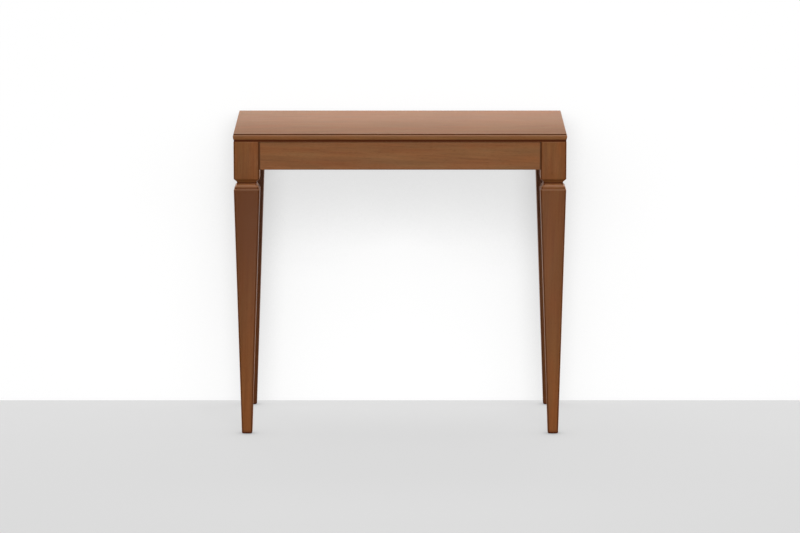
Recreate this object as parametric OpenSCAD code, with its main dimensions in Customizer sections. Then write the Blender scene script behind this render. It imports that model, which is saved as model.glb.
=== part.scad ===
// Extending console table. Two wooden half frames stand face to face and are
// joined by two packs of telescopic aluminium rails. Pulling the front frame
// draws the rails out one after another, and loose leaves are laid on them.
// X runs along the width, -Y faces the user, Z is up, the floor is Z = 0.

/* [Table] */
// Width of the closed top, left to right
table_w = 850; // [780:5:920]
// Depth of the closed top, front to back
table_d = 420; // [400:5:460]
// Height of the top surface above the floor
table_h = 785; // [740:5:800]
// Hairline left between the two half frames when the table is closed
seam = 0.3; // [0.2:0.1:1]

/* [Top] */
// Thickness of each half top
top_t = 21; // [18:0.5:24]
// How far the top stands proud of the leg faces
overhang = 1.2; // [0.8:0.1:4]
// Height of the small step along the upper edge
step_h = 2.4; // [1:0.2:3]
// How far the step is set back from the widest line of the edge
step_in = 1.5; // [1:0.1:2]
// Depth of the fine quirk under the step, from the widest line
quirk_in = 2.2; // [2.1:0.1:3.5]
// Height of the rounded shoulder between the quirk and the widest line
shoulder_h = 4.5; // [2:0.25:6]
// How far the swelling of the edge runs back at its lower end
under_in = 1.3; // [0.4:0.1:1.6]
// Height of the dark groove between the swelling and the frame
groove_h = 6; // [3:0.5:7]
// Depth of that groove behind the leg faces
groove_in = 0.8; // [0.4:0.1:4]

/* [Legs] */
// Width of the square block at the top of each leg
leg_w = 66; // [60:1:72]
// Height of that block
block_h = 96; // [94:1:110]
// Width of the leg at the floor
foot_w = 27; // [24:1:36]
// How far the foot stands outward of the middle of the block, on both sides
foot_out = 3.6; // [0:0.2:6]
// Rounding of the upright corners
arris_r = 3.5; // [2:0.5:5]
// Bevel round the top of the block
crown = 1; // [0.5:0.25:2]
// Depth of the neck below the block face
neck_in = 7.6; // [6:0.2:10]
// Height of the bevel that leads into the neck
neck_drop = 7.6; // [6:0.2:12]
// Height of the upright band at the bottom of the neck
neck_band = 1.8; // [1.4:0.2:5]
// Height of the fine crease cut under that band
crease_h = 2.6; // [1.4:0.2:3]
// Depth of the crease behind the band
crease_in = 1.2; // [0.6:0.2:2]
// Height of the flared bevel that leads out of the neck
bevel_h = 9.2; // [5:0.2:12]
// Power that hollows that bevel, where 1 is straight
bevel_flare = 3; // [1:0.2:4]
// Set-back of the small upright step under the bevel
lip_in = 2.6; // [2:0.1:4]
// Height of that step
lip_band = 5.2; // [2:0.2:6]
// Height of the rounded lip on which the shaft begins
lip_h = 3; // [2:0.2:10]
// Rounding round the bottom of the foot
foot_r = 4; // [3:0.5:6]

/* [Aprons] */
// Height of the aprons
apron_h = 72; // [68:1:80]
// Thickness of the aprons
apron_t = 20; // [18:1:24]
// Set-back of the apron faces from the leg faces
apron_in = 2.5; // [1:0.5:5]
// Rounding of the lower edges of the aprons
apron_r = 1.5; // [1:0.5:3]
// Side of the square cleats that hold the tops to the aprons
cleat_w = 20; // [16:1:24]
// Length of the cleats on the long aprons
long_cleat_l = 240; // [160:10:280]
// Distance of the side cleats from the middle of the table
side_cleat_gap = 8; // [6:1:12]

/* [Rails] */
// Number of rails in each pack
rail_count = 7; // [4:1:8]
// Gap between the ends of the rails and the long aprons
rail_end_gap = 4; // [3:0.5:10]
// Width of one rail
rail_w = 12; // [11:0.5:14]
// Height of one rail
rail_h = 46; // [44:1:52]
// Space between two rails
rail_space = 1; // [0.6:0.1:2]
// Distance from the inner faces of the legs to the packs
rail_in = 78; // [76:1:100]
// Gap between the rails and the underside of the top
rail_drop = 1; // [0.6:0.1:2]
// How far each rail slides out of the one before it
rail_travel = 250; // [200:5:260]
// Thickness of the lips that close the slot
lip_t = 2.5; // [2:0.1:3]
// Depth of the slot behind the lips
slot_d = 5.2; // [4.8:0.1:6]
// Height of the slot
slot_h = 26; // [22:1:28]
// Height of the mouth between the lips
mouth_h = 14; // [10:1:16]
// Wall round the hollow chambers
chamber_wall = 2; // [1.5:0.1:2.5]
// Thickness of the nylon liners and shoes
nylon_t = 1.7; // [1.2:0.1:2]
// Running gap between parts that slide on each other
slide_gap = 0.3; // [0.2:0.05:0.4]
// Gap left between liner and shoe at the end of the travel
stop_gap = 0.5; // [0.3:0.1:2]
// Thickness of the steel angles that hold the outermost and innermost rails
angle_t = 2.5; // [2:0.5:3]
// Length of one angle
angle_l = 34; // [26:1:40]
// Width of the angle under the top
angle_w = 22; // [18:1:26]
// Height of the angle on the rail
angle_h = 22; // [18:1:26]
// Distance of the outer angles from the ends of the rails
angle_end = 36; // [24:1:40]
// Distance between the two angles of one half
angle_pitch = 80; // [50:5:90]

/* [Fittings] */
// Thickness of the pressed corner brackets
bracket_t = 2; // [1.5:0.5:3]
// Height of the corner brackets
bracket_h = 56; // [50:1:60]
// Drop of the corner brackets below the top of the leg
bracket_drop = 7; // [5:1:9]
// Distance from the inner corner of the leg to the bracket
bracket_off = 10; // [8:0.5:14]
// Length of each bracket flange along its apron
flange_l = 16; // [14:1:18]
// Thread diameter of the leg bolts
bolt_d = 8; // [6:1:10]
// Length of the leg bolts inside the leg
bolt_in = 42; // [30:1:46]
// Length of the leg bolts outside the leg
bolt_out = 26; // [24:1:32]
// Distance between the two bolts of one leg
bolt_pitch = 28; // [24:1:32]
// Thickness of the leg bolt washers
washer_t = 1.6; // [1:0.2:2]
// Diameter of the leg bolt washers
washer_d = 20; // [18:1:24]
// Width across the flats of the nuts
nut_af = 13; // [10:1:17]
// Height of the nuts
nut_h = 6.5; // [5:0.5:8]
// Shank diameter of the small screws
screw_d = 4; // [3:0.5:5]
// Head diameter of the small screws
screw_head_d = 7.5; // [7:0.5:9]
// Head height of the small screws
screw_head_h = 2.2; // [1.8:0.2:3]
// Length of the bracket screws
screw_l = 16; // [12:1:18]
// Length of the screws that go up through the cleats
cleat_screw_l = 32; // [30:1:34]
// Clearance of fixed screws, bolts and pins in their holes
fit = 0.1; // [0.05:0.05:0.2]
// Diameter of the alignment pins between the half tops
pin_d = 8; // [6:1:10]
// Length of the alignment pins inside the front top
pin_in = 20; // [15:1:30]
// Length of the alignment pins outside the front top
pin_out = 12; // [8:1:16]
// Running clearance of the alignment pins in the rear top
pin_fit = 0.1; // [0.05:0.01:0.1]
// Distance of the outer alignment pins from the inner faces of the legs
pin_off = 52; // [48:1:54]
// Diameter of the glides under the feet
glide_d = 16; // [12:1:18]
// Thickness of the glides
glide_t = 2.5; // [2:0.5:4]
// How far the glides stand below the feet they are let into
glide_out = 1; // [0.5:0.5:2]
// Diameter of the nail of each glide
nail_d = 3; // [2:0.5:4]
// Length of the nail of each glide
nail_l = 15; // [10:1:20]

/* [Latches] */
// Distance of the latches from the inner faces of the legs
latch_in = 20; // [18:1:26]
// Distance of the latch pivot behind the seam
latch_y = 24; // [20:1:26]
// Distance of the latch stud in front of the seam
stud_y = 16; // [14:1:20]
// Thickness of the latch lever
lever_t = 3; // [2:0.5:4]
// Width of the latch lever
lever_w = 13; // [12:1:15]
// Angle at which the open lever stands from its closed place
open_angle = 60; // [45:5:65]
// Diameter of the pivot and of the stud
pivot_d = 6; // [5:0.5:8]
// Running clearance of the lever on its pivot
pivot_fit = 0.05; // [0.02:0.01:0.1]
// Clearance of the hook round the stud
hook_gap = 1; // [0.8:0.1:1.4]
// Thickness of the round steel plates under the top
plate_t = 2; // [1.5:0.5:3]
// Diameter of those plates
plate_d = 28; // [27:1:30]
// Diameter of the rivet head that holds the lever
rivet_d = 11; // [9:1:12]
// Height of the rivet head
rivet_h = 3; // [2:0.5:4]
// Thickness of the plastic grip round the end of the lever
grip_t = 3; // [2:0.5:3.5]
// Length of the plastic grip
grip_l = 18; // [14:1:20]

/* [Hidden] */
$fn = 48;
leg_top = table_h - top_t;
leg_face_x = table_w / 2 - overhang;
leg_face_y = table_d / 2 - overhang;
leg_x = leg_face_x - leg_w / 2;
leg_y = leg_face_y - leg_w / 2;
inner_x = leg_face_x - leg_w;
inner_y = leg_face_y - leg_w;
shaft_z = leg_top - block_h - neck_drop - neck_band - crease_h - bevel_h - lip_band - lip_h;
apron_face_x = leg_face_x - apron_in;
apron_face_y = leg_face_y - apron_in;
apron_back_x = apron_face_x - apron_t;
apron_back_y = apron_face_y - apron_t;
side_l = inner_y - seam / 2;
corner_steps = 4;

rail_l = 2 * (apron_back_y - rail_end_gap);
rail_x = inner_x - rail_in;
rail_pitch = rail_w + rail_space;
rail_z = leg_top - rail_drop - rail_h / 2;
slot_floor = rail_w - lip_t - slot_d;
head_h = slot_h - 2 * (nylon_t + slide_gap);
head_t = slot_d - nylon_t - 2 * slide_gap;
neck_h = mouth_h - 2 * slide_gap;
neck_l = rail_space + lip_t + slide_gap;
shoe_l = (rail_l - rail_travel - stop_gap) / 2;
chamber_h = (rail_h - slot_h) / 2 - 2 * chamber_wall;
angle_ys = [rail_l / 2 - angle_end - angle_pitch, rail_l / 2 - angle_end];
pin_x = inner_x - pin_off;

bracket_in = leg_w - apron_in - apron_t;
bracket_a = bracket_off * sqrt(2) + bracket_in;
bracket_z = leg_top - bracket_drop - bracket_h;
bolt_zs = [for (i = [-1, 1]) bracket_z + bracket_h / 2 + i * bolt_pitch / 2];
flange_mid = bracket_a + flange_l * 0.6;
side_cleat_l = inner_y - bracket_a - flange_l - 5 - side_cleat_gap;
latch_x = inner_x - latch_in;
lever_reach = latch_y + stud_y;
lever_z = leg_top - plate_t - slide_gap - lever_t;
lever_tail = plate_d / 2 + 2 + grip_l - grip_t;

WOOD = "#8a5a3c";
RAW = "#c9a77c";
ALU = "#b9bcc0";
NYLON = "#2c2c2e";
ZINC = "#9a9da1";
BLACK = "#202022";

// ---- helpers -------------------------------------------------------------

// Extrudes a [y, z] outline along X, centred.
module along_x(l) rotate([90, 0, 90]) linear_extrude(l, center = true) children();

// Extrudes an [x, z] outline along Y, centred.
module along_y(l) rotate([90, 0, 0]) linear_extrude(l, center = true) children();

// Repeats a piece of the right-hand side on the left-hand side too.
module both_sides() {
    children();
    mirror([1, 0, 0]) children();
}

// Mirrors a piece of the right-hand side to the left for a negative number.
module side(s) {
    if (s < 0) mirror([1, 0, 0]) children();
    else children();
}

// ---- half tops -----------------------------------------------------------

// Moulded edge as [inset, height above the underside], from the bottom up.
function edge_outline() = let (
    groove = overhang + groove_in,
    belly_z = top_t - step_h - shoulder_h,
    belly_h = belly_z - groove_h,
    steps = 6
) concat(
    [[groove, 0], [groove, groove_h]],
    [for (i = [0:steps]) let (u = 1 - i / steps)
        [under_in * u * u, groove_h + belly_h * (1 - u)]],
    [for (i = [1:steps]) let (a = 90 * i / steps)
        [quirk_in * (1 - cos(a)), belly_z + shoulder_h * sin(a)]],
    [[step_in, top_t - step_h * 0.8], [step_in, top_t]]
);

// Front half top, with its square edge on the seam.
module half_top() {
    edge = edge_outline();
    n = len(edge);
    translate([0, 0, leg_top]) intersection() {
        along_x(table_w) polygon(concat(
            [for (p = edge) [-table_d / 2 + p[0], p[1]]],
            [[-seam / 2, top_t], [-seam / 2, 0]]
        ));
        along_y(table_d) polygon(concat(
            [for (p = edge) [-table_w / 2 + p[0], p[1]]],
            [for (i = [n - 1:-1:0]) [table_w / 2 - edge[i][0], edge[i][1]]]
        ));
    }
}

// Bores for the alignment pins, going into the front top from the seam.
module pin_bores(r, depth) {
    for (x = [-pin_x, 0, pin_x])
        translate([x, -depth, leg_top + top_t / 2]) rotate([-90, 0, 0])
            cylinder(r = r, h = depth);
}

module front_top() color(WOOD) difference() {
    half_top();
    pin_bores(pin_d / 2 + fit, pin_in + 1);
    cleat_screws(fit);
    angle_screws(-1, fit);
    latch_screws(-1, fit);
}

module rear_top() color(WOOD) mirror([0, 1, 0]) difference() {
    half_top();
    pin_bores(pin_d / 2 + pin_fit, pin_out + 1);
    cleat_screws(fit);
    angle_screws(1, fit);
    latch_screws(1, fit);
}

module alignment_pins() color(RAW)
    for (x = [-pin_x, 0, pin_x])
        translate([x, -pin_in, leg_top + top_t / 2]) rotate([-90, 0, 0])
            cylinder(d = pin_d, h = pin_in + pin_out);

// ---- legs ----------------------------------------------------------------

// Height and half width of the leg, from the foot up.
function leg_outline() = let (
    full = leg_w / 2,
    foot = foot_w / 2,
    block_z = leg_top - block_h,
    neck_z = block_z - neck_drop,
    crease_z = neck_z - neck_band,
    bevel_z = crease_z - crease_h,
    band_z = bevel_z - bevel_h,
    lip_z = band_z - lip_band
) concat(
    [for (a = [0:30:90]) [glide_out + foot_r * (1 - cos(a)), foot - foot_r * (1 - sin(a))]],
    [for (a = [0:18:90]) [lip_z - lip_h * (1 - sin(a)), full - lip_in * (1 - cos(a))]],
    [for (u = [1:-0.125:0])
        [bevel_z - bevel_h * u, full - neck_in + (neck_in - lip_in) * pow(u, bevel_flare)]],
    [
        [bevel_z, full - neck_in - crease_in],
        [crease_z, full - neck_in - crease_in],
        [crease_z, full - neck_in],
        [neck_z, full - neck_in],
        [block_z, full],
        [leg_top - crown, full],
        [leg_top, full - crown]
    ]
);

// Ring of points of a square with rounded corners.
function square_ring(half, r, z) = [
    for (c = [0:3]) for (i = [0:corner_steps])
        let (a = 90 * (c + i / corner_steps), m = 90 * c + 45, q = half - r)
        [q * sqrt(2) * cos(m) + r * cos(a), q * sqrt(2) * sin(m) + r * sin(a), z]
];

// Solid through a stack of rounded squares, whose middle leans towards -X and
// -Y by out from the height lean_z down to the floor.
module square_loft(outline, r, out, lean_z) {
    m = 4 * (corner_steps + 1);
    rows = len(outline);
    points = [
        for (row = outline) let (lean = out * max(0, 1 - row[0] / lean_z))
            each [for (p = square_ring(row[1], r, row[0])) p - [lean, lean, 0]]
    ];
    sides = [
        for (i = [0:rows - 2]) for (j = [0:m - 1]) let (k = (j + 1) % m)
            [i * m + j, (i + 1) * m + j, (i + 1) * m + k, i * m + k]
    ];
    bottom = [[for (j = [0:m - 1]) j]];
    top = [[for (j = [m - 1:-1:0]) (rows - 1) * m + j]];
    polyhedron(points, concat(bottom, sides, top), convexity = 4);
}

// Leg at the front left corner.
module leg() color(WOOD) difference() {
    translate([-leg_x, -leg_y, 0]) square_loft(leg_outline(), arris_r, foot_out, shaft_z);
    corner() leg_bolt_holes(bolt_d / 2 + fit);
    at_foot() {
        translate([0, 0, -1]) cylinder(d = glide_d + 2 * fit, h = glide_t + 1);
        cylinder(d = nail_d + 2 * fit, h = glide_t + nail_l + 1);
    }
}

// ---- aprons and cleats ---------------------------------------------------

// Section of an apron, with its outer face on the left at 0.
module apron_section() {
    r = apron_r;
    polygon(concat(
        [[0, apron_h], [apron_t, apron_h]],
        [for (a = [0:30:90]) [apron_t - r * (1 - cos(a)), r * (1 - sin(a))]],
        [for (a = [90:30:180]) [r + r * cos(a), r * (1 - sin(a))]]
    ));
}

module long_apron() color(WOOD) difference() {
    translate([0, -apron_face_y, leg_top - apron_h]) along_x(2 * inner_x) apron_section();
    both_sides() corner() flange_screws(fit, 0);
}

module side_apron() color(WOOD) difference() {
    translate([-apron_face_x, -inner_y + side_l / 2, leg_top - apron_h])
        along_y(side_l) apron_section();
    corner() flange_screws(fit, 1);
}

// Cleats of the front frame.
module top_cleats() color(RAW) difference() {
    union() {
        translate([-long_cleat_l / 2, -apron_back_y, leg_top - cleat_w])
            cube([long_cleat_l, cleat_w, cleat_w]);
        both_sides() translate([-apron_back_x, -side_cleat_gap - side_cleat_l, leg_top - cleat_w])
            cube([cleat_w, side_cleat_l, cleat_w]);
    }
    cleat_screws(fit);
}

// Screws of the front frame that go up through the cleats into the top.
module cleat_screws(grow) {
    y = -side_cleat_gap - side_cleat_l / 2;
    long_x = long_cleat_l / 2 - cleat_w;
    for (p = [
        [-long_x, -apron_back_y + cleat_w / 2],
        [long_x, -apron_back_y + cleat_w / 2],
        [-apron_back_x + cleat_w / 2, y],
        [apron_back_x - cleat_w / 2, y]
    ]) translate([p[0], p[1], leg_top - cleat_w]) screw(cleat_screw_l, grow);
}

// Upright screw, with its head just below the origin.
module screw(l, grow) {
    translate([0, 0, -grow]) cylinder(r = screw_d / 2 + grow, h = l + 2 * grow);
    translate([0, 0, -screw_head_h]) cylinder(d = screw_head_d, h = screw_head_h);
}

// ---- corner joints -------------------------------------------------------

// Places a piece with its origin at the inner corner of the front left leg,
// where +X and +Y run away from the leg along the aprons.
module corner() translate([-inner_x, -inner_y, 0]) children();

module corner_bracket() color(ZINC) difference() {
    t = bracket_t;
    w = bracket_in;
    a = bracket_a;
    b = a + t * (sqrt(2) - 1);
    corner() difference() {
        translate([0, 0, bracket_z]) linear_extrude(bracket_h) polygon([
            [a + flange_l, -w], [a + flange_l, t - w], [b, t - w], [t - w, b],
            [t - w, a + flange_l], [-w, a + flange_l], [-w, a], [a, -w]
        ]);
        leg_bolt_holes(bolt_d / 2 + 4 * fit);
        flange_screws(fit, 0);
        flange_screws(fit, 1);
    }
}

// Turns a piece that points up so that it leaves the leg across the corner.
module across_corner() rotate([0, 0, 45]) rotate([0, 90, 0]) children();

module leg_bolt_holes(r) for (z = bolt_zs) translate([0, 0, z]) across_corner()
    translate([0, 0, -bolt_in - 1]) cylinder(r = r, h = bolt_in + bolt_out);

module leg_bolts() color(ZINC) both_sides() corner() for (z = bolt_zs)
    translate([0, 0, z]) across_corner() {
        washer_z = bracket_off + bracket_t;
        translate([0, 0, -bolt_in]) cylinder(d = bolt_d, h = bolt_in + bolt_out);
        translate([0, 0, washer_z]) ring(washer_d / 2, bolt_d / 2 + fit, washer_t);
        translate([0, 0, washer_z + washer_t]) difference() {
            cylinder(r = nut_af / sqrt(3), h = nut_h, $fn = 6);
            translate([0, 0, -1]) cylinder(r = bolt_d / 2 + fit, h = nut_h + 2);
        }
    }

module ring(r_out, r_in, h) difference() {
    cylinder(r = r_out, h = h);
    translate([0, 0, -1]) cylinder(r = r_in, h = h + 2);
}

// Screws through one flange: along the long apron (0) or the side apron (1).
module flange_screws(grow, which) for (z = bolt_zs) {
    if (which == 0) translate([flange_mid, bracket_t - bracket_in, z]) rotate([90, 0, 0])
        screw(screw_l, grow);
    if (which == 1) translate([bracket_t - bracket_in, flange_mid, z]) rotate([0, -90, 0])
        screw(screw_l, grow);
}

module bracket_screws(half) color(ZINC) {
    both_sides() corner() {
        flange_screws(0, 0);
        flange_screws(0, 1);
    }
    angle_screws(half, 0);
    latch_screws(half, 0);
}

// ---- feet ----------------------------------------------------------------

module at_foot() translate([-leg_x - foot_out, -leg_y - foot_out, 0]) children();

module foot_glides() color(BLACK) both_sides() at_foot() {
    cylinder(d = glide_d, h = glide_t);
    cylinder(d = nail_d, h = glide_t + nail_l);
}

// ---- telescopic rails ----------------------------------------------------

// Section of one rail as [distance from its outer face, height]. The rib on
// the outer face runs in the slot of the rail before it.
module rail_section(has_rib, has_slot) {
    c = chamber_wall / 3;
    h = rail_h / 2;
    difference() {
        union() {
            polygon([
                [c, -h], [rail_w - c, -h], [rail_w, c - h], [rail_w, h - c],
                [rail_w - c, h], [c, h], [0, h - c], [0, c - h]
            ]);
            if (has_rib) {
                translate([-neck_l, -neck_h / 2]) square([neck_l + 1, neck_h]);
                translate([-neck_l - head_t, -head_h / 2]) square([head_t, head_h]);
            }
        }
        if (has_slot) {
            translate([slot_floor, -slot_h / 2]) square([slot_d, slot_h]);
            translate([slot_floor, -mouth_h / 2]) square([rail_w, mouth_h]);
        }
        for (s = [-1, 1])
            translate([chamber_wall, s * (slot_h / 2 + chamber_wall + chamber_h / 2) - chamber_h / 2])
                square([rail_w - 2 * chamber_wall, chamber_h]);
    }
}

// Places a [distance, height] outline in rail k of the right-hand pack.
module in_rail(k, l, y = 0) translate([rail_x - (k - 1) * rail_pitch, y, rail_z])
    mirror([1, 0, 0]) along_y(l) children();

module rail(k) color(ALU) difference() {
    in_rail(k, rail_l) rail_section(k > 1, k < rail_count);
    if (k == 1) mirror([0, 1, 0]) angle_screws(1, fit);
    if (k == rail_count) angle_screws(-1, fit);
}

// Nylon channel fixed in the front end of a rail's slot.
module slot_liner(k) in_rail(k, shoe_l, (shoe_l - rail_l) / 2)
    translate([slot_floor, 0]) difference() {
        translate([0, -slot_h / 2]) square([slot_d, slot_h]);
        translate([nylon_t, nylon_t - slot_h / 2]) square([slot_d, slot_h - 2 * nylon_t]);
    }

// Nylon shoe clipped on the rear end of a rail's rib.
module rib_shoe(k) in_rail(k, shoe_l, (rail_l - shoe_l) / 2)
    translate([-neck_l - head_t - nylon_t, 0]) difference() {
        h = head_h + 2 * nylon_t;
        translate([0, -h / 2]) square([head_t + nylon_t, h]);
        translate([nylon_t, -head_h / 2]) square([head_t + 1, head_h]);
    }

module slide_nylons(k) color(NYLON) both_sides() {
    if (k < rail_count) slot_liner(k);
    if (k > 1) rib_shoe(k);
}

// Angles that hold the outermost rail to the rear top (1) or the innermost
// rail to the front top (-1). Both are drawn in the front half.
function angle_x(half) = half > 0 ? rail_x : rail_x - (rail_count - 1) * rail_pitch - rail_w;

module rail_angle(half) translate([angle_x(half), 0, leg_top]) side(half)
    along_y(angle_l) polygon([
        [0, 0], [angle_w, 0], [angle_w, -angle_t], [angle_t, -angle_t],
        [angle_t, -angle_h], [0, -angle_h]
    ]);

module rail_angles(half) color(ZINC) difference() {
    both_sides() for (y = angle_ys) translate([0, -y, 0]) rail_angle(half);
    angle_screws(half, fit);
}

// Two screws for each angle: one up into the top, one across into the rail.
module angle_screws(half, grow) both_sides() for (y = angle_ys)
    translate([angle_x(half), -y, leg_top]) side(half) {
        translate([angle_w * 0.6, angle_l / 4, -angle_t]) screw(top_t * 0.7, grow);
        translate([angle_t, -angle_l / 4, -angle_h * 0.65]) rotate([0, -90, 0])
            screw(angle_t + chamber_wall, grow);
    }

// ---- latches -------------------------------------------------------------

// Round plate with two countersunk holes, hanging from the origin.
module latch_plate() translate([0, 0, -plate_t]) difference() {
    cylinder(d = plate_d, h = plate_t);
    translate([0, 0, plate_t]) plate_screws(fit);
}

// Countersunk screws that hold one plate, flush with its lower face.
module plate_screws(grow) for (s = [-1, 1])
    translate([s * plate_d * 0.34, 0, -plate_t]) {
        r = screw_d / 2 * 0.75;
        cylinder(r = r + grow, h = screw_l * 0.75 + grow);
        cylinder(r1 = r + plate_t * 0.6 + grow, r2 = r + grow, h = plate_t * 0.6);
    }

// Plate with the pivot, under the rear top on the right-hand side.
module latch_pivot() translate([latch_x, latch_y, leg_top]) {
    post = plate_t + 2 * slide_gap + lever_t;
    latch_plate();
    translate([0, 0, -post - rivet_h]) {
        cylinder(d = pivot_d, h = post - plate_t + rivet_h);
        cylinder(d = rivet_d, h = rivet_h);
    }
}

module latch_stud() translate([latch_x, -stud_y, leg_top]) {
    stud_h = plate_t + 2 * slide_gap + lever_t + 1;
    latch_plate();
    translate([0, 0, -stud_h]) cylinder(d = pivot_d, h = stud_h - plate_t);
}

// Plate screws of both latches: of the pivots (1) or of the studs (-1), drawn
// in the front half.
module latch_screws(half, grow) both_sides()
    translate([latch_x, half > 0 ? -latch_y : -stud_y, leg_top]) plate_screws(grow);

// Places a lever that is drawn closed, pointing along -Y from its pivot.
module at_latch() translate([latch_x, latch_y, lever_z]) rotate([0, 0, -open_angle]) children();

// Flat steel lever with a hook at one end and a tail for the grip. The mouth
// of the hook follows the path of the stud as the lever swings.
module latch_lever() color(ZINC) at_latch() difference() {
    hook_r = pivot_d / 2 + hook_gap;
    linear_extrude(lever_t) difference() {
        union() {
            translate([-lever_w / 2, -lever_reach]) square([lever_w, lever_reach]);
            circle(d = lever_w + 3);
            translate([0, -lever_reach]) circle(d = lever_w + 4);
            translate([-lever_w / 4, 0]) square([lever_w / 2, lever_tail]);
        }
        translate([0, -lever_reach]) circle(r = hook_r);
        intersection() {
            difference() {
                circle(r = lever_reach + hook_r);
                circle(r = lever_reach - hook_r);
            }
            translate([0, -2 * lever_reach]) square([lever_w * 2, 2 * lever_reach]);
        }
    }
    translate([0, 0, -1]) cylinder(r = pivot_d / 2 + pivot_fit, h = lever_t + 2);
}

// Moulded grip pushed on the tail of the lever.
module latch_grip() color(BLACK) at_latch() difference() {
    w = lever_w / 2 + 2 * grip_t;
    end = lever_tail + grip_t;
    translate([0, 0, -grip_t / 2]) linear_extrude(lever_t + grip_t) hull() {
        translate([-w / 2, end - grip_l]) square([w, 1]);
        translate([0, end - w / 2]) circle(d = w);
    }
    translate([-lever_w / 4, 0, 0]) cube([lever_w / 2, lever_tail, lever_t]);
}

// ---- nodes ---------------------------------------------------------------

module rear() mirror([0, 1, 0]) children();

front_top();
rear_top();
leg();  // front_leg_left
side(-1) leg();  // front_leg_right
rear() leg();  // rear_leg_left
rear() side(-1) leg();  // rear_leg_right
long_apron();  // front_apron
rear() long_apron();  // rear_apron
side_apron();  // front_side_apron_left
side(-1) side_apron();  // front_side_apron_right
rear() side_apron();  // rear_side_apron_left
rear() side(-1) side_apron();  // rear_side_apron_right
top_cleats();  // front_top_cleats
rear() top_cleats();  // rear_top_cleats
corner_bracket();  // front_corner_bracket_left
side(-1) corner_bracket();  // front_corner_bracket_right
rear() corner_bracket();  // rear_corner_bracket_left
rear() side(-1) corner_bracket();  // rear_corner_bracket_right
leg_bolts();  // front_leg_bolts
rear() leg_bolts();  // rear_leg_bolts
bracket_screws(-1);  // front_bracket_screws
rear() bracket_screws(1);  // rear_bracket_screws
color(ZINC) cleat_screws(0);  // front_cleat_screws
rear() color(ZINC) cleat_screws(0);  // rear_cleat_screws
foot_glides();  // front_foot_glides
rear() foot_glides();  // rear_foot_glides
alignment_pins();
rail_angles(-1);  // front_rail_angles
rear() rail_angles(1);  // rear_rail_angles
for (k = [1:rail_count]) {
    side(-1) rail(k);
    rail(k);
    slide_nylons(k);
}
color(ZINC) both_sides() latch_pivot();  // rear_latch_pivots
color(ZINC) both_sides() latch_stud();  // front_latch_studs
side(-1) latch_lever();  // latch_lever_left
latch_lever();  // latch_lever_right
side(-1) latch_grip();  // latch_grip_left
latch_grip();  // latch_grip_right
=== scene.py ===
import math

import bmesh
import bpy
from mathutils import Matrix, Vector


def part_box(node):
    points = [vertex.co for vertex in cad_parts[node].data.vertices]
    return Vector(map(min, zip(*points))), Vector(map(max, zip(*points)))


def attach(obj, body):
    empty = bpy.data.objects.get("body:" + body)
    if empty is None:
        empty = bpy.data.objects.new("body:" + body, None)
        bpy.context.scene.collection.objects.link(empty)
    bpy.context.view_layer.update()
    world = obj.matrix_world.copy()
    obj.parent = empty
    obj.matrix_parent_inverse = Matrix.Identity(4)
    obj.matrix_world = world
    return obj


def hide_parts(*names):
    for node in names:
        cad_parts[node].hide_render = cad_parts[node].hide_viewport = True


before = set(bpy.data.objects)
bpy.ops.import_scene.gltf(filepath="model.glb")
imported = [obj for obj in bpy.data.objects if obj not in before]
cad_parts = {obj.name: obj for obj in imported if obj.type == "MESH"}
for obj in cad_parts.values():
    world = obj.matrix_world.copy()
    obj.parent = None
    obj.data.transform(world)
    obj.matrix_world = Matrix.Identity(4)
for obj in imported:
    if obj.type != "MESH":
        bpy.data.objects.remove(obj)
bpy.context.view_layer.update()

# ---- Legs ---------------------------------------------------------------
# Solid hardwood stained walnut, sawn square and tapered on all four faces. A
# neck is cut round under the block that takes the aprons, and the shaft starts
# with a ledge and a rounded lip. The foot stands a little outward.

leg_low, leg_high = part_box("front_leg_left")
block_half = (leg_high.x - leg_low.x) / 2
leg_centre_x = (leg_high.x + leg_low.x) / 2
leg_centre_y = (leg_high.y + leg_low.y) / 2
block_height = 0.096
block_ease = 0.001
bevel_height = 0.0076
neck_depth = 0.0076
neck_height = 0.0018
crease_depth = neck_depth + 0.0012
crease_height = 0.0026
flare_height = 0.0092
ledge_depth = 0.0026
ledge_height = 0.0052
lip_height = 0.0030
foot_half = 0.0135
foot_out = 0.0036
foot_round = 0.004
arris_radius = 0.0042
cut_ease = 0.0006

block_foot = leg_high.z - block_height
neck_top = block_foot - bevel_height
crease_top = neck_top - neck_height
flare_top = crease_top - crease_height
flare_foot = flare_top - flare_height
ledge_foot = flare_foot - ledge_height
shaft_top = ledge_foot - lip_height


def quarter(steps):
    """Sine and cosine of even steps through a right angle."""
    turns = [math.pi / 2 * i / steps for i in range(steps + 1)]
    return [(math.sin(turn), math.cos(turn)) for turn in turns]


def eased(outline, size, least_bend=12, most=0.4):
    """The outline with its corners rounded over.

    Each corner of least_bend degrees or more is cut back by size, but by no
    more than the share most of the sides next to it.
    """
    points = [outline[0]]
    for before, corner, after in zip(outline, outline[1:], outline[2:]):
        a, b, c = Vector(before), Vector(corner), Vector(after)
        back, on = a - b, c - b
        bend = back.angle(-on, 0.0)
        if bend < math.radians(least_bend):
            points.append(corner)
            continue
        cut = min(size, back.length * most, on.length * most)
        start, end = b + back.normalized() * cut, b + on.normalized() * cut
        points += [tuple(start), tuple((start + 2 * b + end) / 4), tuple(end)]
    return points + [outline[-1]]


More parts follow.
